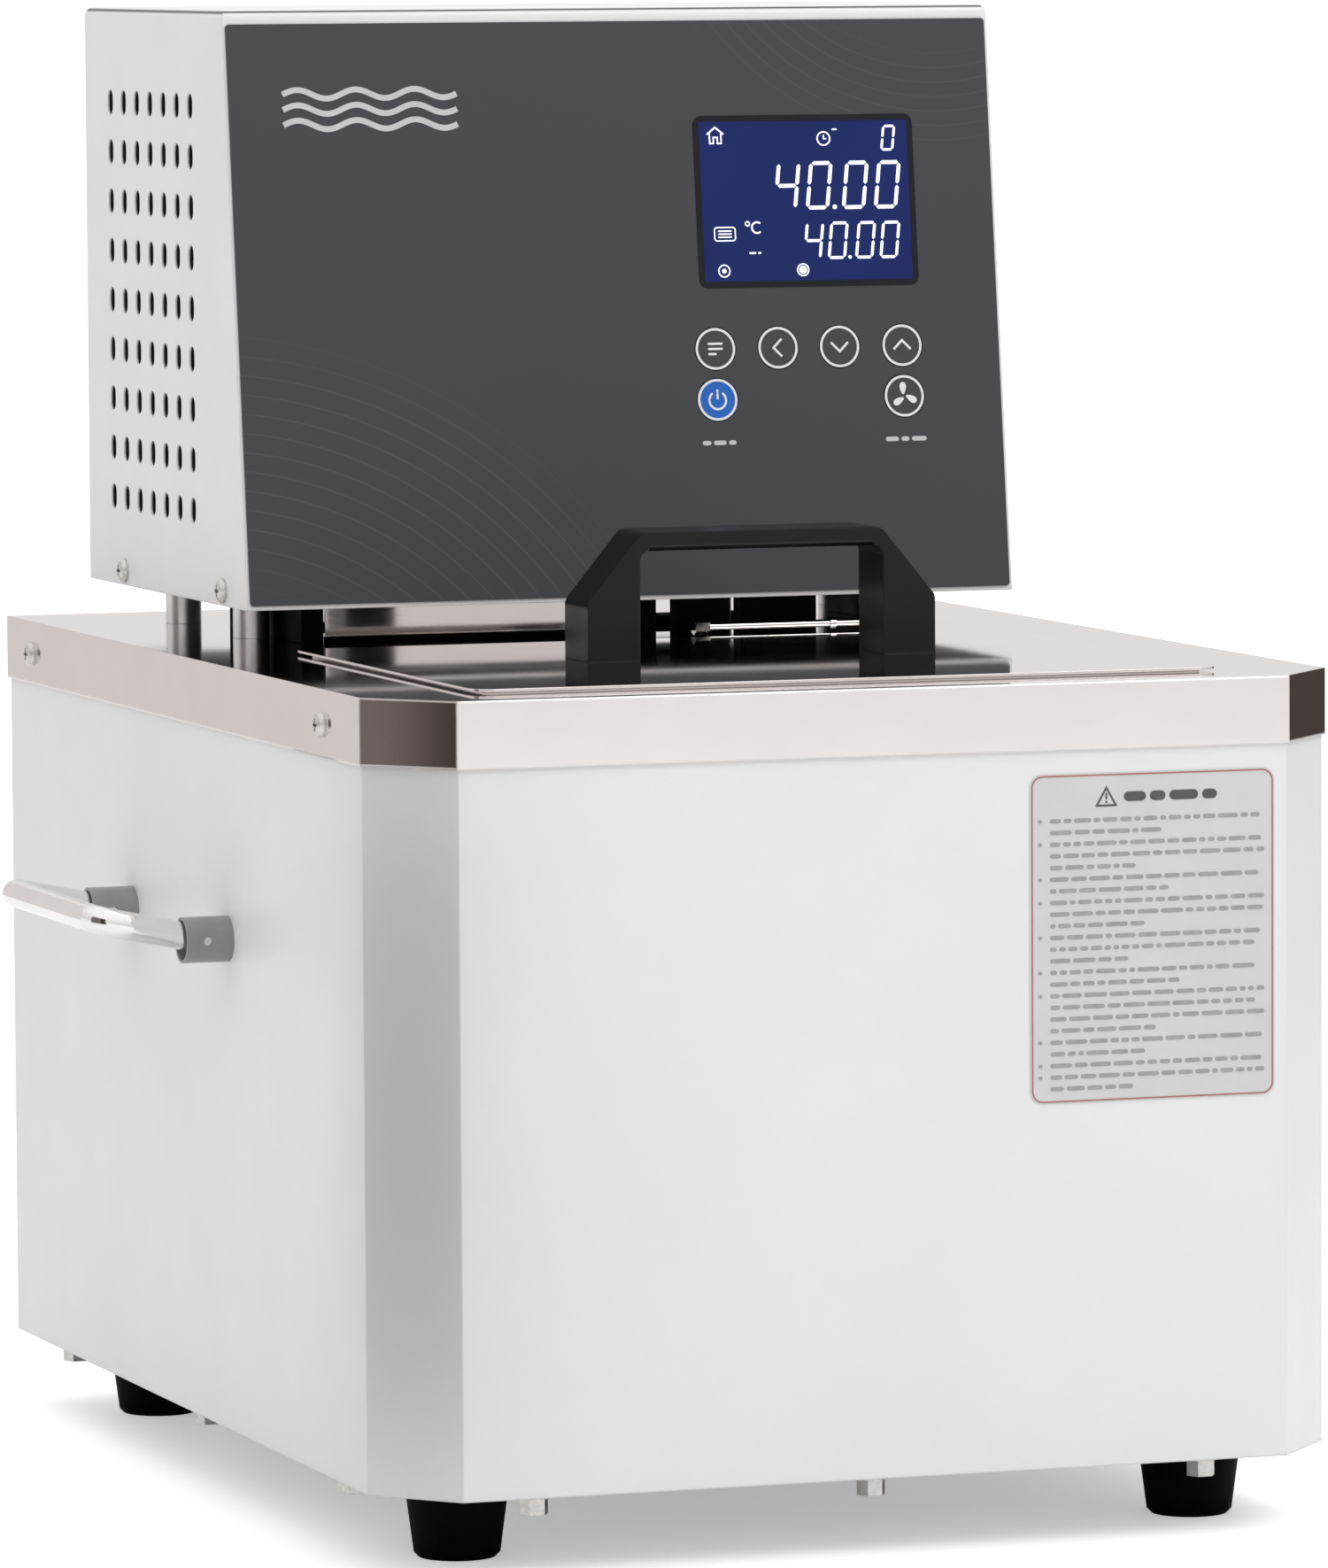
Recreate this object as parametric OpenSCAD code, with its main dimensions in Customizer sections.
// Bench-top circulating water bath: a stainless-topped tank in a sheet-steel casing, a lift-off lid,
// and a control head that stands on four round spacers. Millimetres, +Z up, front faces -Y.

/* [Casing] */
// Width of the painted casing
body_w = 316; // [300:1:340]
// Depth of the painted casing
body_d = 427; // [420:1:450]
// Height of the painted casing that shows under the top cover
body_h = 224; // [200:1:260]
// How far each front corner is cut back along the front
corner_x = 22.5; // [15:0.5:30]
// How far each front corner is cut back along the side
corner_y = 25.5; // [15:0.5:30]
// Thickness of the casing sheet
sheet = 1.2; // [1:0.1:1.5]

/* [Feet] */
// Height of a rubber foot
foot_h = 24; // [18:1:30]
// Diameter of a foot where it meets the base
foot_top_d = 33; // [28:1:38]
// Diameter of a foot where it meets the bench
foot_end_d = 27; // [22:1:32]

/* [Top cover and tank] */
// Height of the stainless skirt
cover_h = 21; // [18:1:26]
// Thickness of the stainless sheet
steel = 1; // [0.8:0.1:1.2]
// Inside width of the tank
tank_w = 236; // [232:1:240]
// Inside depth of the tank, front to back
tank_d = 336; // [330:1:340]
// Height of the tank floor above the bench
tank_floor_z = 62; // [58:1:70]

/* [Lid] */
// Width of the lid
lid_w = 245; // [240:1:250]
// Depth of the lid, front to back
lid_d = 190; // [186:1:190]
// Distance from the front of the casing to the front of the lid
lid_inset = 23; // [23:1:25]
// Thickness of the lid sheet with its folded hem
lid_t = 1.5; // [1.2:0.1:2]
// Length of the lid handle
lid_grip_w = 117; // [110:1:125]
// Height of the lid handle
lid_grip_h = 41; // [36:1:44]
// Depth of the lid handle, front to back
lid_grip_d = 23; // [20:1:26]

/* [Control head] */
// Width of the control head
head_w = 265; // [262:1:268]
// Depth of the control head along its underside
head_d = 186; // [186:1:188]
// Height of the control head
head_h = 194; // [190:1:200]
// How far the front of the head leans back, in degrees
head_lean = 7; // [5:0.5:8]
// Gap between the head and the top cover
head_gap = 13; // [12:1:16]
// Distance from the back of the casing to the back of the head
head_inset = 10.5; // [10:0.5:12]

/* [Carry handles] */
// Height of the handle pivots above the bench
grip_z = 182; // [150:1:200]
// Distance between the two bosses of a handle
grip_span = 109; // [100:1:120]
// Diameter of the handle bar
grip_rod_d = 9; // [8.5:0.1:9.2]
// How far the bar stands up from level, in degrees
grip_rise = 12; // [8:1:12]

/* [Hidden] */
$fn = 48;

// Levels
body_top = foot_h + body_h;
cover_top = body_top + cover_h;
head_z = cover_top + head_gap;
lid_top = cover_top + lid_t;
tank_top = cover_top - steel;

// Depths, measured from the middle of the casing
front_y = -body_d / 2;
back_y = body_d / 2;
head_back = back_y - head_inset;
head_front = head_back - head_d;
lid_y = front_y + lid_inset + lid_d / 2;
tank_mid = front_y + 27.5 + tank_d / 2;

// The drain valve is the rearmost thing, so the origin lies midway between it and the front skirt
valve_l = 24;
barb_l = 21;
centre_y = -(valve_l + barb_l - steel) / 2;

// Fasteners
m4 = 4;
m4_head = 8;
m5 = 5;
screw_side_y = [-150.5, 182.5];
screw_side_z = body_top + 10;
foot_xy = [122, 165];
head_screw_y = [27, 143];
head_screw_z = 5;
standoff_xs = [-113, 121];
standoff_y = [61, 140];
standoff_d = 12;

// Lid handle: thickness of a leg, place on the lid and distance of its screws from its middle
grip_leg = 17.5;
lid_grip_at = [4, 10];
lid_screw_x = (lid_grip_w - grip_leg) / 2;

// Openings in the top cover
lid_hole = [lid_w - 15, lid_d - 19];
well_hole = [170, 90];
well_y = 95;

// Control head shell and its leaning face
head_wall = 1.5;
head_top = head_z + head_h;
face_l = head_h / cos(head_lean);
bend_r = 3;
panel_t = 0.8;
panel_w = head_w - 2;
panel_low = 1.4;
panel_high = face_l - 4.9;
lcd_size = [77, 57];
lcd_at = [65.7, 130.5];
lcd_hole = [68, 47];
key_r = 6.9;
key_hole_r = 7.25;
key_row = 82;
key_low_row = 65.2;
key_xs = [31.7, 53.6, 75.2, 97.2];
board_z = -9;

// Air slots in the sides of the head
slot_cols = 7;
slot_rows = 9;
slot_pitch = [15.75, 16.6];
slot_size = [6, 8.4];
slot_first = [61, 29.5];

// Carry handles
boss_d = 14.7;
boss_l = 15.4;
boss_bore_d = 12.9;
boss_bore_l = 12;
grip_pivot = 8.5;
grip_reach = 34.3;
grip_bend = 10;
grip_y = 11.4;
pin_d = 3;
running = 0.05;

// Drive and wet parts under the head
motor_at = [-45, 95];
shaft_d = 6;
pump_low = 70;
pump_h = 26;
pump_r = 27;
pipe_y = 128;
pipe_z = head_z - 6.5;
pipe_d = 9;
pipe_wall = 1;
pipe_bend = 9;
supply_x = -45;
return_x = 0;
nozzle_end = back_y + 22;
heater_legs = [14, 30, 46, 62];
heater_y = 110;
heater_rod_d = 8;
probe_at = [0, 72];
float_at = [66, 72];
float_low = 222;
float_h = 16;
float_travel = 12;

// Black rails and blocks in the gap under the head, and the steel flange between them
rail = [7.5, 82];
rail_xs = [-106, 106.5];
rail_front = 44;
block_d = 8;
block_front = rail_front - block_d;
block_xs = [[-1, 13.9], [21.5, 39.5], [43.8, 70.1]];
splash_w = 96;
splash_gap = 2;
seal_d = 3;

// Parts on the back of the head
fan_at = [-70, head_z + 138];
fan_size = 60;
fan_t = 20;
inlet_at = [88, head_z + 62];
switch_at = [88, head_z + 104];
rocker_gap = 0.4;
sink = [44, 38, 30];
sink_at = [-2, 150];

// Drain valve
drain_z = tank_floor_z + 12;
drain_bore_r = 4.5;
lever_l = 46;
ball_r = 6.7;
ball_y = back_y + 12;
stem_r = 2.5;

function unit(v) = v / norm(v);

// Points of an arc that rounds corner b, between its neighbours a and c
function rounded_corner(a, b, c, r) = r <= 0 ? [b] :
    let (u = unit(a - b), v = unit(c - b), half = acos(u * v) / 2, m = unit(u + v))
    let (o = b + m * r / sin(half), p = b + u * r / tan(half) - o, turn = 180 - 2 * half)
    let (side = u.x * v.y - u.y * v.x > 0 ? -1 : 1)
    [for (i = [0:6]) let (t = side * turn * i / 6)
        o + [p.x * cos(t) - p.y * sin(t), p.x * sin(t) + p.y * cos(t)]];

function rounded(points, radii) = [for (i = [0:len(points) - 1])
    each rounded_corner(points[(i + len(points) - 1) % len(points)], points[i],
        points[(i + 1) % len(points)], radii[i])];

function rect_points(w, d) = [[-w / 2, -d / 2], [w / 2, -d / 2], [w / 2, d / 2], [-w / 2, d / 2]];

// Casing outline grown by o all round, with its rear edge at rear
function casing_points(o, rear) =
    let (hyp = norm([corner_x, corner_y]), w = body_w / 2 + o)
    let (fx = body_w / 2 - corner_x + o * (hyp - corner_x) / corner_y)
    let (sy = front_y + corner_y - o * (hyp - corner_y) / corner_x)
    [[-w, rear], [-w, sy], [-fx, front_y - o], [fx, front_y - o], [w, sy], [w, rear]];

module place() {
    translate([0, centre_y, 0])
        children();
}

module rounded_block(w, d, h, r) {
    linear_extrude(h)
        polygon(rounded(rect_points(w, d), [r, r, r, r]));
}

// Along X from the origin
module along_x() {
    rotate([0, 90, 0])
        children();
}

// Along +Y from the origin
module along_y() {
    rotate([-90, 0, 0])
        children();
}

// Left and right copies
module both_sides() {
    children();
    mirror([1, 0, 0])
        children();
}

// Pan-head screw along +Z, with its seat at the origin
module pan_screw(d, head_d, l) {
    head_h = head_d * 0.31;
    difference() {
        union() {
            rotate_extrude()
                polygon([[0, -head_h], [head_d * 0.26, -head_h], [head_d * 0.42, -head_h * 0.74],
                    [head_d / 2, -head_h * 0.3], [head_d / 2, 0], [0, 0]]);
            cylinder(d = d, h = l);
        }
        for (a = [0, 90])
            rotate([0, 0, a])
                translate([-head_d * 0.26, -head_d * 0.06, -head_h - 1])
                    cube([head_d * 0.52, head_d * 0.12, 1 + head_h * 0.6]);
    }
}

module hex(across, h) {
    cylinder(d = across / cos(30), h = h, $fn = 6);
}

// Frame of the leaning face: x across, y up the slope, z outwards
module on_face() {
    translate([0, head_front, head_z])
        rotate([90 - head_lean, 0, 0])
            children();
}

module body_casing() {
    flange = 14;
    color([0.93, 0.93, 0.92])
        place()
            difference() {
                translate([0, 0, foot_h])
                    difference() {
                        linear_extrude(body_h + cover_h - steel)
                            polygon(casing_points(0, back_y));
                        translate([0, 0, 2 * sheet])
                            linear_extrude(body_h + cover_h)
                                polygon(casing_points(-sheet, back_y + 1));
                        translate([0, 0, -1])
                            linear_extrude(2 * sheet + 2)
                                polygon(casing_points(-flange, back_y + 1));
                        translate([0, 0, -1])
                            linear_extrude(sheet + 1)
                                polygon(casing_points(-sheet, back_y + 1));
                    }
                both_sides()
                    for (y = screw_side_y)
                        translate([body_w / 2 - 5, y, screw_side_z])
                            along_x()
                                cylinder(d = m4 + 0.4, h = 10);
                translate([0, 0, foot_h])
                    base_screw_holes();
            }
}

module base_screw_holes() {
    for (p = base_screw_points())
        translate([p.x, p.y, -1])
            cylinder(d = m4 + 0.4, h = 10);
}

function base_screw_points() = [
    for (x = [-110, 0, 110]) [x, front_y + 9],
    for (x = [-1, 1]) for (y = [-143, 15, 172]) [x * (body_w / 2 - 9), y]];

module back_panel() {
    color([0.93, 0.93, 0.92])
        place()
            difference() {
                translate([-body_w / 2 + sheet, back_y - sheet, foot_h + 2 * sheet])
                    cube([body_w - 2 * sheet, sheet, body_h + cover_h - 2 * sheet - steel]);
                translate([0, back_y - 5, drain_z])
                    along_y()
                        cylinder(d = 15, h = 10);
                for (i = [-5:5])
                    translate([i * 14 - 2, back_y - 5, foot_h + 150])
                        cube([4, 10, 40]);
            }
}

module base_plate() {
    color([0.75, 0.76, 0.76])
        place()
            difference() {
                translate([0, 0, foot_h])
                    linear_extrude(sheet)
                        polygon(casing_points(-sheet, back_y));
                for (x = [-1, 1], y = [-1, 1])
                    translate([x * foot_xy.x, y * foot_xy.y, foot_h - 1])
                        cylinder(d = m5 + 0.4, h = 5);
                for (i = [-4:4])
                    translate([i * 14 - 2.5, -25, foot_h - 1])
                        cube([5, 50, 5]);
                translate([0, 0, foot_h])
                    base_screw_holes();
            }
}

module rubber_feet() {
    bevel = 1.5;
    recess = [8, 9];
    hole_r = m5 / 2 + 0.2;
    color([0.08, 0.08, 0.08])
        place()
            for (x = [-1, 1], y = [-1, 1])
                translate([x * foot_xy.x, y * foot_xy.y, 0])
                    rotate_extrude()
                        polygon([[hole_r, recess.y], [recess.x, recess.y], [recess.x, 0],
                            [foot_end_d / 2 - bevel, 0], [foot_end_d / 2, bevel],
                            [foot_top_d / 2, foot_h], [hole_r, foot_h]]);
}

module foot_screws() {
    seat = 9;
    color("silver")
        place()
            for (x = [-1, 1], y = [-1, 1])
                translate([x * foot_xy.x, y * foot_xy.y, 0]) {
                    translate([0, 0, seat])
                        pan_screw(m5, 10, foot_h - seat + 8);
                    translate([0, 0, foot_h + sheet])
                        hex(8, 4);
                }
}

module base_screws() {
    head = [8, 5];
    washer = [10, 1];
    color("silver")
        place()
            for (p = base_screw_points())
                translate([p.x, p.y, foot_h - washer.y]) {
                    cylinder(d = washer.x, h = washer.y);
                    cylinder(d = m4, h = washer.y + 7);
                    translate([0, 0, -head.y])
                        hex(head.x, head.y);
                }
}

module top_cover() {
    color([0.8, 0.79, 0.78])
        place()
            difference() {
                translate([0, 0, body_top])
                    linear_extrude(cover_h)
                        polygon(casing_points(steel, back_y + steel));
                translate([0, 0, body_top - 1])
                    linear_extrude(cover_h - steel + 1)
                        polygon(casing_points(0, back_y));
                translate([0, lid_y, body_top])
                    rounded_block(lid_hole.x, lid_hole.y, cover_h + 1, 12);
                translate([0, well_y, body_top])
                    rounded_block(well_hole.x, well_hole.y, cover_h + 1, 8);
                both_sides()
                    for (y = screw_side_y)
                        translate([body_w / 2 - 5, y, screw_side_z])
                            along_x()
                                cylinder(d = m4 + 0.4, h = 10);
            }
}

module top_cover_screws() {
    color("silver")
        place()
            both_sides()
                for (y = screw_side_y)
                    translate([body_w / 2 + steel, y, screw_side_z])
                        rotate([0, -90, 0])
                            pan_screw(m4, m4_head, 8);
}

module inner_tank() {
    flange = 8;
    stub_l = 10;
    color([0.78, 0.78, 0.78])
        place()
            difference() {
                union() {
                    translate([0, tank_mid, tank_floor_z - steel])
                        rounded_block(tank_w + 2 * steel, tank_d + 2 * steel,
                            tank_top - tank_floor_z + steel, 21);
                    translate([0, tank_mid, tank_top - steel])
                        rounded_block(tank_w + 2 * flange, tank_d + 2 * flange, steel, 25);
                    translate([0, tank_mid + tank_d / 2 + steel - 0.5, drain_z])
                        along_y()
                            cylinder(r = 9, h = stub_l + 0.5);
                }
                translate([0, tank_mid, tank_floor_z])
                    rounded_block(tank_w, tank_d, 300, 20);
                translate([0, tank_mid + tank_d / 2 - 5, drain_z])
                    along_y()
                        cylinder(r = drain_bore_r, h = 40);
            }
}

module tank_insulation() {
    foam = 15;
    color([0.35, 0.36, 0.38])
        place()
            difference() {
                translate([0, tank_mid, tank_floor_z - steel - foam])
                    rounded_block(tank_w + 2 * foam, tank_d + 2 * foam, tank_top - tank_floor_z, 24);
                translate([0, tank_mid, tank_floor_z - steel])
                    rounded_block(tank_w + 2 * steel, tank_d + 2 * steel, 300, 21);
                translate([0, tank_mid + tank_d / 2 - 5, drain_z])
                    along_y()
                        cylinder(r = 9.5, h = 40);
            }
}

module drain_valve_body() {
    start_y = tank_mid + tank_d / 2 + steel + 10;
    color([0.72, 0.66, 0.5])
        place()
            translate([0, 0, drain_z])
                difference() {
                    union() {
                        translate([0, start_y, 0])
                            along_y()
                                cylinder(r = 7, h = ball_y - start_y);
                        translate([0, back_y, 0])
                            along_y()
                                hex(20, 5);
                        translate([0, back_y + 2, 0])
                            along_y()
                                cylinder(r = 10, h = valve_l - 2);
                        translate([0, ball_y, 0])
                            cylinder(r = 5, h = 15);
                    }
                    translate([0, start_y - 1, 0])
                        along_y()
                            cylinder(r = drain_bore_r, h = 200);
                    translate([0, ball_y, 0])
                        sphere(r = ball_r + 0.4);
                    translate([0, ball_y, 0])
                        cylinder(r = stem_r + running, h = 20);
                }
}

module drain_valve_ball() {
    color("silver")
        place()
            translate([0, ball_y, drain_z])
                difference() {
                    sphere(r = ball_r);
                    translate([-10, 0, 0])
                        along_x()
                            cylinder(r = drain_bore_r, h = 20);
                    translate([-10, -1, ball_r - 1.6])
                        cube([20, 2, 5]);
                }
}

module drain_valve_lever() {
    stem_low = ball_r - 1.6;
    lever_z = 15.5;
    color([0.7, 0.08, 0.06])
        place()
            translate([0, ball_y, drain_z]) {
                translate([0, 0, ball_r])
                    cylinder(r = stem_r, h = lever_z - ball_r + 0.5);
                translate([-2, -1, stem_low])
                    cube([4, 2, ball_r - stem_low + 0.5]);
                translate([0, 0, lever_z]) {
                    cylinder(r = 7, h = 2.5);
                    cylinder(r = 4, h = 5);
                    translate([0, -5, 0])
                        cube([lever_l, 10, 2.5]);
                    translate([lever_l, 0, 0])
                        cylinder(r = 5, h = 2.5);
                }
            }
}

module drain_hose_barb() {
    color([0.72, 0.66, 0.5])
        place()
            translate([0, back_y + valve_l, drain_z])
                along_y()
                    difference() {
                        rotate_extrude()
                            polygon([[0, 0], [8, 0], [8, 3], [5.5, 3], [5.5, 15], [5.7, 17],
                                [5, barb_l], [0, barb_l]]);
                        translate([0, 0, -1])
                            cylinder(r = 3.5, h = 40);
                    }
}

// Right-hand handle parts, pivot at the origin; the left ones are mirrored
module grip_at() {
    translate([body_w / 2 + grip_pivot, grip_y, grip_z])
        children();
}

module grip_bar() {
    leg = grip_reach - grip_bend;
    rod_r = grip_rod_d / 2;
    grip_at()
        rotate([0, -grip_rise, 0])
            difference() {
                union() {
                    for (s = [-1, 1])
                        translate([0, s * grip_span / 2, 0]) {
                            sphere(r = rod_r);
                            along_x()
                                cylinder(r = rod_r, h = leg);
                        }
                    translate([leg, grip_span / 2 - grip_bend, 0])
                        rotate_extrude(angle = 90)
                            translate([grip_bend, 0])
                                circle(r = rod_r);
                    translate([leg, -grip_span / 2 + grip_bend, 0])
                        rotate([0, 0, -90])
                            rotate_extrude(angle = 90)
                                translate([grip_bend, 0])
                                    circle(r = rod_r);
                    translate([grip_reach, -grip_span / 2 + grip_bend, 0])
                        along_y()
                            cylinder(r = rod_r, h = grip_span - 2 * grip_bend);
                }
                for (s = [-1, 1])
                    translate([0, s * grip_span / 2 - 10, 0])
                        along_y()
                            cylinder(r = pin_d / 2 + running, h = 20);
            }
}

module handle_bar_left() {
    color("silver")
        place()
            mirror([1, 0, 0])
                grip_bar();
}

module handle_bar_right() {
    color("silver")
        place()
            grip_bar();
}

module boss_pair() {
    for (s = [-1, 1])
        translate([body_w / 2, grip_y + s * grip_span / 2, grip_z])
            difference() {
                along_x()
                    cylinder(d = boss_d, h = boss_l);
                translate([boss_l - boss_bore_l, 0, 0])
                    along_x()
                        cylinder(d = boss_bore_d, h = boss_bore_l + 1);
                translate([grip_pivot, -10, 0])
                    along_y()
                        cylinder(d = pin_d, h = 20);
            }
}

module handle_bosses() {
    color([0.6, 0.61, 0.62])
        place()
            both_sides()
                boss_pair();
}

module handle_pins() {
    pin_l = boss_d - 1.6;
    color([0.3, 0.3, 0.3])
        place()
            both_sides()
                grip_at()
                    for (s = [-1, 1])
                        translate([0, s * grip_span / 2 - pin_l / 2, 0])
                            along_y()
                                cylinder(d = pin_d, h = pin_l);
}

module front_label() {
    label = [81.5, 102.5];
    label_at = [90.5, body_top - 58.7];
    color("white")
        place()
            translate([label_at.x, front_y, label_at.y])
                rotate([90, 0, 0])
                    rounded_block(label.x, label.y, 0.3, 4);
}

module lid_plate() {
    rim_w = 5;
    rim_gap = 0.7;
    lip_h = 5;
    lip_gap = 1.5;
    lip = [lid_hole.x - 2 * lip_gap, lid_hole.y - 2 * lip_gap];
    color([0.8, 0.79, 0.78])
        place()
            translate([0, lid_y, cover_top])
                difference() {
                    union() {
                        rounded_block(lid_w, lid_d, lid_t, 6);
                        translate([0, 0, -lip_h])
                            rounded_block(lip.x, lip.y, lip_h + 0.5, 10);
                    }
                    translate([0, 0, -lip_h - 1])
                        rounded_block(lip.x - 2 * steel, lip.y - 2 * steel, lip_h + 1, 9);
                    translate([0, 0, -1])
                        difference() {
                            cube([lid_w + 2, lid_d + 2, 2 * (1 + rim_gap)], center = true);
                            cube([lid_w - 2 * rim_w, lid_d - 2 * rim_w, 6], center = true);
                        }
                    for (s = [-1, 1])
                        translate([lid_grip_at.x + s * lid_screw_x, lid_grip_at.y, -1])
                            cylinder(d = m4 + 0.4, h = 5);
                }
}

module lid_handle() {
    shoulder = 18.6;
    top_w = 80;
    bar = 6.2;
    soft = 2;
    hole = [lid_grip_w - 2 * grip_leg, lid_grip_h - bar];
    color([0.06, 0.06, 0.06])
        place()
            translate([lid_grip_at.x, lid_y + lid_grip_at.y, lid_top])
                difference() {
                    translate([0, lid_grip_d / 2, 0])
                        rotate([90, 0, 0])
                            linear_extrude(lid_grip_d)
                                difference() {
                                    polygon(rounded([[-lid_grip_w / 2, 0], [lid_grip_w / 2, 0],
                                        [lid_grip_w / 2, shoulder], [top_w / 2, lid_grip_h],
                                        [-top_w / 2, lid_grip_h], [-lid_grip_w / 2, shoulder]],
                                        [0, 0, 4, 5, 5, 4]));
                                    polygon(rounded([[-hole.x / 2, -1], [hole.x / 2, -1],
                                        [hole.x / 2, hole.y], [-hole.x / 2, hole.y]], [0, 0, 3, 3]));
                                }
                    for (s = [-1, 1]) {
                        translate([s * lid_screw_x, 0, -1])
                            cylinder(d = m4, h = 11);
                        translate([0, s * lid_grip_d / 2, hole.y])
                            rotate([45, 0, 0])
                                cube([hole.x - 6, soft, soft], center = true);
                    }
                }
}

module lid_handle_screws() {
    color("silver")
        place()
            for (s = [-1, 1])
                translate([lid_grip_at.x + s * lid_screw_x, lid_y + lid_grip_at.y, cover_top])
                    pan_screw(m4, m4_head, 10);
}

module standoff_places() {
    for (x = standoff_xs, y = standoff_y)
        translate([x, head_front + y, 0])
            children();
}

module standoffs() {
    color([0.75, 0.75, 0.75])
        place()
            standoff_places()
                translate([0, 0, cover_top])
                    difference() {
                        cylinder(d = standoff_d, h = head_gap);
                        translate([0, 0, 2])
                            cylinder(d = m5, h = head_gap);
                    }
}

module standoff_bolts() {
    color("silver")
        place()
            standoff_places() {
                translate([0, 0, head_z + head_wall])
                    hex(8, 3.5);
                translate([0, 0, cover_top + 3])
                    cylinder(d = m5, h = head_gap + head_wall - 2.5);
            }
}

// Outer or inner body of the head: side outline carried across, cut to the rounded front outline
module head_form(inset, back_extra, low_extra) {
    y0 = head_front + inset / cos(head_lean);
    low = head_z - low_extra;
    top = head_top - inset;
    shift_low = -low_extra * tan(head_lean);
    shift_top = (head_h - inset) * tan(head_lean);
    r = max(bend_r - inset, 0.5);
    intersection() {
        translate([-head_w / 2 + inset, 0, 0])
            rotate([90, 0, 90])
                linear_extrude(head_w - 2 * inset)
                    polygon(rounded([[y0 + shift_low, low], [head_back + back_extra, low],
                        [head_back + back_extra, top], [y0 + shift_top, top]], [0, 0, 0, r]));
        translate([0, head_back + 50, 0])
            rotate([90, 0, 0])
                linear_extrude(head_d + 100)
                    polygon(rounded([[-head_w / 2 + inset, low], [head_w / 2 - inset, low],
                        [head_w / 2 - inset, top], [-head_w / 2 + inset, top]], [0, 0, r, r]));
    }
}

// Upright round-ended slot, drawn lying in the X-Y plane
module air_slot(h) {
    straight = slot_size.y - slot_size.x;
    translate([-slot_size.x / 2, -straight / 2, 0])
        cube([slot_size.x, straight, h]);
    for (s = [-1, 1])
        translate([0, s * straight / 2, 0])
            cylinder(d = slot_size.x, h = h);
}

module head_cover() {
    color([0.93, 0.93, 0.92])
        place()
            difference() {
                head_form(0, 0, 0);
                head_form(head_wall, 1, 1);
                translate([-head_w, head_front + slot_first.x, head_z + slot_first.y])
                    rotate([90, 0, 90])
                        for (i = [0:slot_cols - 1], j = [0:slot_rows - 1])
                            translate([i * slot_pitch.x, j * slot_pitch.y, 0])
                                air_slot(2 * head_w);
                both_sides()
                    for (y = head_screw_y)
                        translate([head_w / 2 - 5, head_front + y, head_z + head_screw_z])
                            along_x()
                                cylinder(d = m4 + 0.4, h = 10);
                on_face() {
                    translate([lcd_at.x, lcd_at.y, -10])
                        rounded_block(lcd_hole.x, lcd_hole.y, 20, 2);
                    for (p = key_points())
                        translate([p.x, p.y, -10])
                            cylinder(r = key_hole_r, h = 20);
                }
            }
}

function key_points() = [
    for (x = key_xs) [x, key_row],
    [key_xs[0], key_low_row], [key_xs[3], key_low_row]];

module head_base_plate() {
    inner_w = head_w - 2 * head_wall;
    flange_h = 12;
    color([0.78, 0.78, 0.78])
        place()
            difference() {
                union() {
                    translate([-inner_w / 2, head_front + 3, head_z])
                        cube([inner_w, head_d - 3 - head_wall, head_wall]);
                    both_sides()
                        translate([inner_w / 2 - head_wall, head_front + 6, head_z])
                            cube([head_wall, head_d - 12, flange_h]);
                    translate([block_xs[0][0] - 1 - splash_w, rail_front - steel / 2, cover_top + splash_gap])
                        cube([splash_w, steel, head_gap - splash_gap + head_wall]);
                }
                both_sides()
                    for (y = head_screw_y)
                        translate([head_w / 2 - 8, head_front + y, head_z + head_screw_z])
                            along_x()
                                cylinder(d = m4 + 0.4, h = 12);
                standoff_places()
                    translate([0, 0, head_z - 1])
                        cylinder(d = m5 + 0.4, h = 5);
                translate([motor_at.x, motor_at.y, head_z - 1])
                    cylinder(r = 11, h = 5);
                for (x = [heater_legs[0], heater_legs[3]])
                    translate([x, heater_y, head_z - 1])
                        cylinder(r = 6, h = 5);
                for (p = [probe_at, float_at])
                    translate([p.x, p.y, head_z - 1])
                        cylinder(r = 4, h = 5);
            }
}

module head_back_panel() {
    inner_w = head_w - 2 * head_wall;
    color([0.93, 0.93, 0.92])
        place()
            difference() {
                translate([-inner_w / 2, head_back - head_wall, head_z])
                    cube([inner_w, head_wall, head_h - head_wall - bend_r]);
                translate([fan_at.x, head_back - 5, fan_at.y])
                    along_y()
                        fan_grille();
                translate([inlet_at.x - 14, head_back - 5, inlet_at.y - 18])
                    cube([28, 10, 33]);
                translate([switch_at.x - 14, head_back - 5, switch_at.y - 7])
                    cube([28, 10, 14]);
            }
}

// Ring-shaped air openings of the fan, kept together by four spokes
module fan_grille() {
    for (r = [8, 15, 22])
        difference() {
            cylinder(r = r + 4.5, h = 10);
            translate([0, 0, -1])
                cylinder(r = r, h = 12);
            for (a = [0, 90])
                rotate([0, 0, a + 45])
                    translate([-40, -1.5, -1])
                        cube([80, 3, 12]);
        }
}

module head_cover_screws() {
    color("silver")
        place()
            both_sides()
                for (y = head_screw_y)
                    translate([head_w / 2, head_front + y, head_z + head_screw_z])
                        rotate([0, -90, 0])
                            pan_screw(m4, m4_head, 7);
}

module front_overlay() {
    color([0.28, 0.29, 0.3])
        place()
            on_face()
                difference() {
                    translate([0, (panel_low + panel_high) / 2, 0])
                        rounded_block(panel_w, panel_high - panel_low, panel_t, 1.2);
                    translate([lcd_at.x, lcd_at.y, -1])
                        rounded_block(lcd_size.x, lcd_size.y, 5, 3);
                    for (p = key_points())
                        translate([p.x, p.y, -1])
                            cylinder(r = key_hole_r, h = 5);
                }
}

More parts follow.
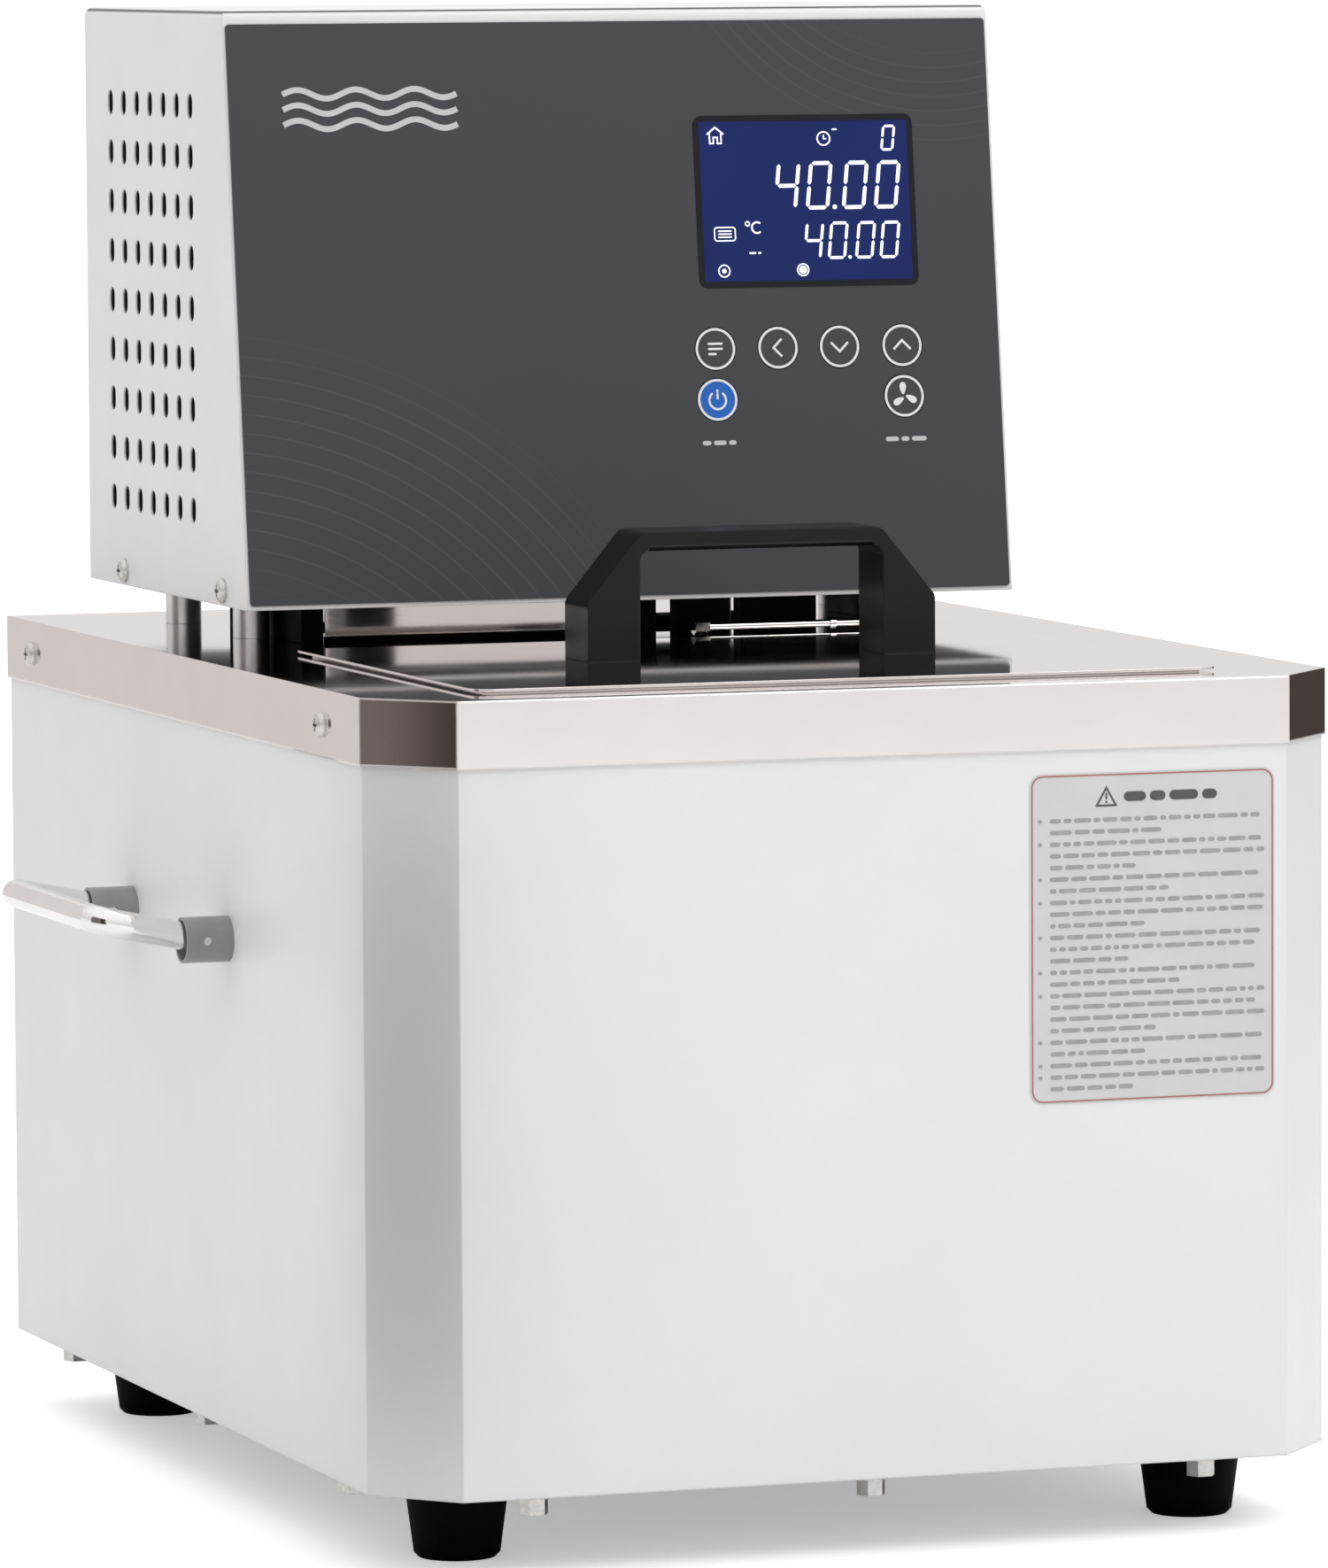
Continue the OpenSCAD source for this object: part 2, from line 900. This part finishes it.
module lcd_window() {
    color([0.1, 0.12, 0.2])
        place()
            on_face()
                translate([lcd_at.x, lcd_at.y, 0])
                    rounded_block(lcd_size.x, lcd_size.y, panel_t + 0.2, 3);
}

module lcd_module() {
    color([0.12, 0.2, 0.5])
        place()
            on_face() {
                translate([lcd_at.x - 33, lcd_at.y - 22.5, -head_wall])
                    cube([66, 45, head_wall - 0.1]);
                translate([lcd_at.x - 37, lcd_at.y - 27, -head_wall - 4])
                    cube([74, 54, 4]);
            }
}

module control_board() {
    board = [125, 122];
    board_at = [-5, 45];
    color([0.05, 0.35, 0.15])
        place()
            on_face() {
                translate([board_at.x, board_at.y, board_z])
                    cube([board.x, board.y, 1.6]);
                for (x = [4, board.x - 4], y = [4, board.y - 4])
                    translate([board_at.x + x, board_at.y + y, board_z + 1])
                        cylinder(d = 6, h = -board_z - 1 - head_wall);
                for (p = key_points())
                    translate([p.x - 3, p.y - 3, board_z + 1])
                        cube([6, 6, 3.4]);
                translate([10, 60, board_z - 4])
                    cube([20, 20, 4.5]);
                translate([50, 60, board_z - 10])
                    cube([30, 12, 10.5]);
                for (i = [0:3])
                    translate([10 + i * 14, 140, board_z - 12])
                        cylinder(d = 9, h = 12.5);
            }
}

// A key: a disc in the face with a stem that reaches its switch
module key_at(p) {
    place()
        on_face()
            translate([p.x, p.y, 0]) {
                translate([0, 0, -head_wall])
                    cylinder(r = key_r, h = head_wall + panel_t);
                translate([0, 0, board_z + 5])
                    cylinder(r = 2, h = -board_z - 5);
            }
}

module key_set() {
    color([0.3, 0.31, 0.32])
        key_at(key_points()[0]);
}

module key_left() {
    color([0.3, 0.31, 0.32])
        key_at(key_points()[1]);
}

module key_down() {
    color([0.3, 0.31, 0.32])
        key_at(key_points()[2]);
}

module key_up() {
    color([0.3, 0.31, 0.32])
        key_at(key_points()[3]);
}

module key_power() {
    color([0.1, 0.45, 0.85])
        key_at(key_points()[4]);
}

module key_circulate() {
    color([0.3, 0.31, 0.32])
        key_at(key_points()[5]);
}

module at_motor(z) {
    translate([motor_at.x, motor_at.y, z])
        children();
}

module pump_motor() {
    flange_t = 3;
    can_r = 30;
    can_h = 78;
    color([0.2, 0.2, 0.22])
        place()
            at_motor(head_z + head_wall)
                difference() {
                    union() {
                        translate([-35, -35, 0])
                            cube([70, 70, flange_t]);
                        cylinder(r = can_r, h = can_h);
                        cylinder(r = 12, h = can_h + 6);
                        for (a = [0:30:330])
                            rotate([0, 0, a])
                                translate([can_r - 1, -1, 12])
                                    cube([3, 2, can_h - 24]);
                    }
                    translate([0, 0, -1])
                        cylinder(d = shaft_d + 2 * running, h = 30);
                }
}

module pump_shaft() {
    low = pump_low + 8;
    color("silver")
        place()
            at_motor(low)
                cylinder(d = shaft_d, h = head_z + head_wall + 20 - low);
}

module pump_impeller() {
    low = pump_low + 5;
    color([0.15, 0.15, 0.15])
        place()
            at_motor(low)
                difference() {
                    union() {
                        cylinder(r = 18, h = 2);
                        cylinder(r = 6, h = 14);
                        for (a = [0:60:300])
                            rotate([0, 0, a])
                                translate([4, -0.8, 0])
                                    cube([14, 1.6, 11]);
                    }
                    translate([0, 0, 3])
                        cylinder(d = shaft_d, h = 30);
                }
}

// Bearing column, spiral chamber and outlet as one moulding
module pump_housing() {
    wall = 3;
    column_r = 11;
    flange = [34, 4];
    color([0.12, 0.12, 0.12])
        place()
            at_motor(0)
                difference() {
                    union() {
                        translate([0, 0, pump_low])
                            cylinder(r = pump_r, h = pump_h);
                        translate([0, 0, pump_low])
                            cylinder(r = column_r, h = head_z - pump_low);
                        translate([-flange.x / 2, -flange.x / 2, head_z - flange.y])
                            cube([flange.x, flange.x, flange.y]);
                        translate([0, 0, pump_low + 8])
                            translate([-6, 0, 0])
                                cube([12, pipe_y - motor_at.y, 14]);
                        translate([0, pipe_y - motor_at.y, pump_low + 8])
                            cylinder(r = 8, h = 22);
                    }
                    translate([0, 0, pump_low + wall])
                        cylinder(r = pump_r - wall, h = pump_h - 2 * wall);
                    translate([0, 0, pump_low - 1])
                        cylinder(r = 8, h = 10);
                    translate([0, 0, pump_low + 10])
                        cylinder(r = 7, h = head_z - pump_low);
                    for (z = [130, 180, 230])
                        translate([-20, -4, z])
                            cube([40, 8, 28]);
                    translate([-3, 0, pump_low + 11])
                        cube([6, pipe_y - motor_at.y, 8]);
                    translate([0, pipe_y - motor_at.y, pump_low + 11])
                        cylinder(r = pipe_d / 2, h = 30);
                }
}

// Upright tube, elbow and level run that leaves under the back of the head as a hose nozzle
module bath_pipe(x, low) {
    top_z = pipe_z - pipe_bend;
    bead_l = 3;
    run_y = pipe_y + pipe_bend;
    place()
        translate([x, 0, 0])
            difference() {
                union() {
                    translate([0, pipe_y, low])
                        cylinder(d = pipe_d, h = top_z - low);
                    pipe_elbow(pipe_d / 2);
                    translate([0, run_y, pipe_z])
                        along_y()
                            cylinder(d = pipe_d, h = nozzle_end - bead_l - run_y);
                    translate([0, nozzle_end - bead_l, pipe_z])
                        along_y()
                            cylinder(d1 = pipe_d + 0.4, d2 = pipe_d - 0.6, h = bead_l);
                }
                translate([0, pipe_y, low - 1])
                    cylinder(d = pipe_d - 2 * pipe_wall, h = top_z - low + 1);
                pipe_elbow(pipe_d / 2 - pipe_wall);
                translate([0, run_y, pipe_z])
                    along_y()
                        cylinder(d = pipe_d - 2 * pipe_wall, h = 200);
            }
}

module pipe_elbow(r) {
    translate([0, pipe_y + pipe_bend, pipe_z - pipe_bend])
        rotate([90, 0, 90])
            rotate([0, 0, 90])
                rotate_extrude(angle = 90)
                    translate([pipe_bend, 0])
                        circle(r = r);
}

module supply_pipe() {
    color("silver")
        bath_pipe(supply_x, pump_low + 22);
}

module return_pipe() {
    color("silver")
        bath_pipe(return_x, 200);
}

module heater_coil() {
    low = 88;
    high = 236;
    rod_r = heater_rod_d / 2;
    pitch = heater_legs[1] - heater_legs[0];
    color([0.6, 0.6, 0.6])
        place()
            translate([0, heater_y, 0]) {
                for (x = [heater_legs[0], heater_legs[3]])
                    translate([x, 0, low])
                        cylinder(r = rod_r, h = head_z - 3 - low);
                for (x = [heater_legs[1], heater_legs[2]])
                    translate([x, 0, low])
                        cylinder(r = rod_r, h = high - low);
                for (x = [heater_legs[0], heater_legs[2]])
                    translate([x + pitch / 2, 0, low])
                        rotate([-90, 0, 0])
                            heater_bend(pitch / 2, rod_r);
                translate([heater_legs[1] + pitch / 2, 0, high])
                    rotate([90, 0, 0])
                        heater_bend(pitch / 2, rod_r);
            }
}

module heater_bend(bend, r) {
    rotate_extrude(angle = 180)
        translate([bend, 0])
            circle(r = r);
}

module heater_flange() {
    plate = [66, 26, 3];
    color([0.7, 0.7, 0.7])
        place() {
            translate([(heater_legs[0] + heater_legs[3]) / 2, heater_y, head_z - plate.z / 2])
                cube(plate, center = true);
            for (x = [heater_legs[0], heater_legs[3]])
                translate([x, heater_y, head_z]) {
                    cylinder(r = 5, h = 8);
                    cylinder(r = 2, h = 18);
                }
        }
}

module temperature_probe() {
    color("silver")
        place()
            translate([probe_at.x, probe_at.y, 0]) {
                translate([0, 0, 120])
                    cylinder(d = 5, h = head_z - 120);
                translate([0, 0, head_z - 5])
                    hex(12, 5);
                translate([0, 0, head_z - 1])
                    cylinder(d = 7, h = 8);
            }
}

module float_stem() {
    color("silver")
        place()
            translate([float_at.x, float_at.y, 0]) {
                translate([0, 0, float_low - 4])
                    cylinder(d = 5, h = head_z - float_low + 4);
                translate([0, 0, float_low - 4])
                    cylinder(d = 10, h = 4);
                translate([0, 0, float_low + float_h + float_travel + 0.5])
                    cylinder(d = 10, h = 3);
                translate([0, 0, head_z - 5])
                    hex(12, 5);
                translate([0, 0, head_z - 1])
                    cylinder(d = 7, h = 8);
            }
}

module level_float() {
    color([0.85, 0.85, 0.83])
        place()
            translate([float_at.x, float_at.y, float_low])
                difference() {
                    cylinder(d = 22, h = float_h);
                    translate([0, 0, -1])
                        cylinder(d = 5.8, h = float_h + 2);
                }
}

// Thin level tube that crosses the front of the gap, from a union at a block up into the head
module bypass_tube() {
    tube_d = 2.6;
    ends = [26, 100];
    tube_y = 26;
    tube_z = cover_top + 3;
    nut_w = 5;
    color("silver")
        place() {
            translate([ends[0], tube_y, tube_z])
                along_x()
                    cylinder(d = tube_d, h = ends[1] - ends[0]);
            translate([ends[0] - nut_w / 2, tube_y, tube_z])
                along_x()
                    hex(nut_w, nut_w);
            translate([ends[0], tube_y, tube_z])
                along_y()
                    cylinder(d = tube_d, h = block_front - tube_y);
            translate([71, tube_y, tube_z])
                along_x()
                    cylinder(d = 4, h = 2);
            translate([ends[1], tube_y, tube_z - tube_d / 2])
                cylinder(d = tube_d, h = head_z - tube_z + tube_d / 2);
        }
}

// Rubber between the cover and the head: rails beside the well, blocks in front of it and a seal
// under the steel flange
module gap_blocks() {
    color([0.08, 0.08, 0.08])
        place() {
            for (x = rail_xs)
                translate([x, rail_front, cover_top])
                    cube([rail.x, rail.y, head_gap]);
            for (xs = block_xs)
                translate([xs[0], block_front, cover_top])
                    cube([xs[1] - xs[0], block_d, head_gap]);
            translate([block_xs[0][0] - 1 - splash_w, rail_front - seal_d / 2, cover_top])
                cube([splash_w, seal_d, splash_gap]);
        }
}

module fan_frame() {
    rim_r = 27.5;
    color([0.1, 0.1, 0.1])
        place()
            translate([fan_at.x, head_back - head_wall - fan_t, fan_at.y])
                along_y()
                    difference() {
                        union() {
                            difference() {
                                translate([-fan_size / 2, -fan_size / 2, 0])
                                    cube([fan_size, fan_size, fan_t]);
                                translate([0, 0, -1])
                                    cylinder(r = rim_r, h = fan_t + 2);
                            }
                            cylinder(r = 12, h = 3);
                            for (a = [0:120:240])
                                rotate([0, 0, a])
                                    translate([0, -1.5, 0])
                                        cube([rim_r + 0.5, 3, 3]);
                        }
                        translate([0, 0, -1])
                            cylinder(d = 4 + 2 * running, h = 10);
                        for (x = [-1, 1], y = [-1, 1])
                            translate([x * 25, y * 25, -1])
                                cylinder(d = 4.3, h = fan_t + 2);
                    }
}

module fan_rotor() {
    blade_r = 26;
    color([0.15, 0.15, 0.15])
        place()
            translate([fan_at.x, head_back - head_wall - fan_t, fan_at.y])
                along_y() {
                    translate([0, 0, 4])
                        cylinder(r = 11, h = 14);
                    cylinder(d = 4, h = 5);
                    for (a = [0:360 / 7:359])
                        rotate([0, 0, a])
                            translate([9, 0, 11])
                                rotate([35, 0, 0])
                                    translate([0, -7, -0.75])
                                        cube([blade_r - 9.5, 14, 1.5]);
                }
}

module power_supply() {
    board = [56, 84, 1.6];
    low = [66, 108, head_z + 10];
    color([0.1, 0.3, 0.12])
        place()
            translate(low) {
                cube(board);
                for (x = [4, board.x - 4], y = [4, board.y - 4])
                    translate([x, y, head_z + head_wall - low.z])
                        cylinder(d = 6, h = low.z - head_z - head_wall + 0.5);
                translate([8, 30, 1])
                    cube([30, 34, 26]);
                for (y = [10, 20])
                    translate([14, y, 1])
                        cylinder(d = 9, h = 22);
                translate([40, 10, 1])
                    cube([12, 30, 14]);
                translate([12, 70, 1])
                    cube([34, 10, 12]);
            }
}

module relay_heatsink() {
    color([0.75, 0.76, 0.78])
        place()
            translate([sink_at.x, sink_at.y, head_z + head_wall]) {
                translate([0, 0, sink.z - 6])
                    cube([sink.x, sink.y, 6]);
                for (i = [0:6])
                    translate([i * (sink.x - 2) / 6, 0, 0])
                        cube([2, sink.y, sink.z - 5]);
            }
}

module solid_state_relay() {
    color([0.9, 0.88, 0.82])
        place()
            translate([sink_at.x + 4, sink_at.y + 2, head_z + head_wall + sink.z]) {
                cube([36, 34, 18]);
                for (x = [8, 28], y = [5, 29])
                    translate([x, y, 17])
                        cylinder(d = 6, h = 4);
            }
}

module mains_inlet() {
    pin = [2, 4];
    color([0.1, 0.1, 0.1])
        place()
            translate([inlet_at.x, head_back, inlet_at.y]) {
                difference() {
                    union() {
                        translate([-24, 0, -21])
                            cube([48, 2, 42]);
                        translate([-13.8, -24, -6])
                            cube([27.6, 24, 20.8]);
                    }
                    translate([-12, -17, -4])
                        cube([24, 20, 16]);
                    translate([-12, -19.2, -17.2])
                        cube([24, 25, 9.4]);
                }
                for (x = [-7, 0, 7])
                    translate([x - pin.x / 2, -18, 4 - pin.y / 2 + (x == 0 ? 3.5 : -0.5)])
                        cube([pin.x, 16, pin.y]);
            }
}

module fuse_drawer() {
    color([0.14, 0.14, 0.14])
        place()
            translate([inlet_at.x, head_back, inlet_at.y]) {
                difference() {
                    translate([-11.8, -18, -17])
                        cube([23.6, 20, 9]);
                    translate([-10, -17, -15.5])
                        cube([20, 15, 8]);
                }
                translate([-6, 1.5, -13.5])
                    cube([12, 1.5, 2]);
            }
}

module switch_housing() {
    color([0.1, 0.1, 0.1])
        place()
            translate([switch_at.x, head_back, switch_at.y])
                difference() {
                    union() {
                        translate([-16, 0, -9])
                            cube([32, 2, 18]);
                        translate([-13.8, -20, -6.8])
                            cube([27.6, 21, 13.6]);
                    }
                    translate([-12, -9, -5])
                        cube([24, 20, 10]);
                    translate([0, -3, -6])
                        cylinder(d = 3 + 2 * running, h = 12);
                }
}

module switch_rocker() {
    half_l = 11.2;
    color([0.12, 0.12, 0.12])
        place()
            translate([switch_at.x, head_back - 3, switch_at.y]) {
                translate([0, 0, -5 + rocker_gap])
                    rotate([0, 0, 9])
                        linear_extrude(10 - 2 * rocker_gap)
                            polygon([[-half_l, 3.2], [0, 5.4], [half_l, 3.2], [half_l, 0.5],
                                [0, -3.5], [-half_l, 0.5]]);
                translate([0, 0, -5.8])
                    cylinder(d = 3, h = 11.6);
            }
}

body_casing();
back_panel();
base_plate();
rubber_feet();
foot_screws();
base_screws();
top_cover();
top_cover_screws();
inner_tank();
tank_insulation();
drain_valve_body();
drain_valve_ball();
drain_valve_lever();
drain_hose_barb();
handle_bar_left();
handle_bar_right();
handle_bosses();
handle_pins();
front_label();
lid_plate();
lid_handle();
lid_handle_screws();
standoffs();
standoff_bolts();
head_cover();
head_base_plate();
head_back_panel();
head_cover_screws();
front_overlay();
lcd_window();
lcd_module();
control_board();
key_set();
key_left();
key_down();
key_up();
key_power();
key_circulate();
pump_motor();
pump_shaft();
pump_impeller();
pump_housing();
supply_pipe();
return_pipe();
heater_coil();
heater_flange();
temperature_probe();
float_stem();
level_float();
bypass_tube();
gap_blocks();
fan_frame();
fan_rotor();
power_supply();
relay_heatsink();
solid_state_relay();
mains_inlet();
fuse_drawer();
switch_housing();
switch_rocker();
